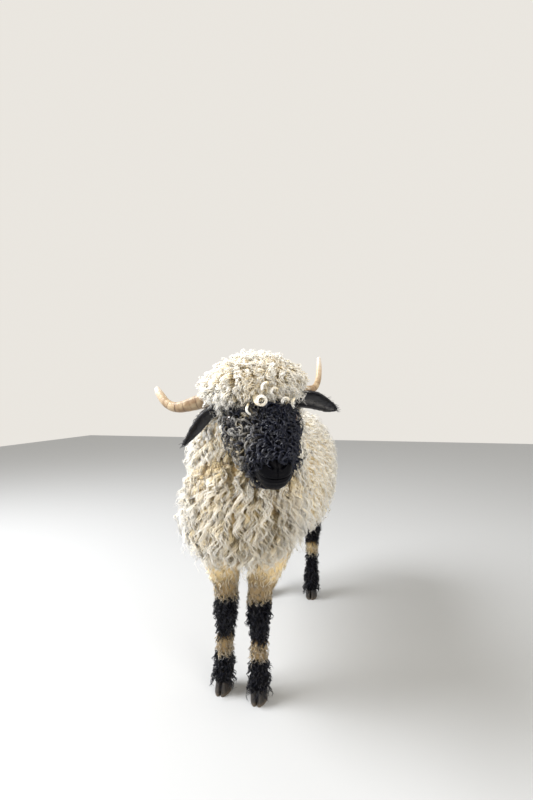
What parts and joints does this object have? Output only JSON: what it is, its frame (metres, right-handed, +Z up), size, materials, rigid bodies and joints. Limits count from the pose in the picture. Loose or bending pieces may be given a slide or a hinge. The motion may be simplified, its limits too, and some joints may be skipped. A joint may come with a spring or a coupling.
{
  "type": "valais blacknose sheep",
  "caption": "Life-size standing sheep in full curly fleece, black face and knees, drooping ears and spreading horns, head turned a little to its left.",
  "frame": {"origin": "on the floor under the middle of the sheep's bounding box", "axes": "the sheep faces -Y, its left side is +X, +Z is up"},
  "size_m": [0.5048, 1.135, 0.9516],
  "materials": {
    "fleece": "soft curly cream wool",
    "head_coat": "tight black curls under a crown of cream wool",
    "black_coat": "short black hair",
    "leg_coat": "tan wool with black knees and feet",
    "eye": "wet dark amber",
    "horn": "ringed, slightly waxy",
    "hoof": "dull dark horn"
  },
  "bodies": {
    "root": {"torso": "fleece", "neck": "fleece", "tail": "fleece", "head": "head_coat", "ear_left": "black_coat", "ear_right": "black_coat", "leg_fore_left": "leg_coat", "leg_fore_right": "leg_coat", "leg_hind_left": "leg_coat", "leg_hind_right": "leg_coat", "eye_left": "eye", "eye_right": "eye", "horn_left": "horn", "horn_right": "horn", "hoof_fore_left_inner": "hoof", "hoof_fore_left_outer": "hoof", "hoof_fore_right_inner": "hoof", "hoof_fore_right_outer": "hoof", "hoof_hind_left_inner": "hoof", "hoof_hind_left_outer": "hoof", "hoof_hind_right_inner": "hoof", "hoof_hind_right_outer": "hoof"}
  },
  "joints": []
}
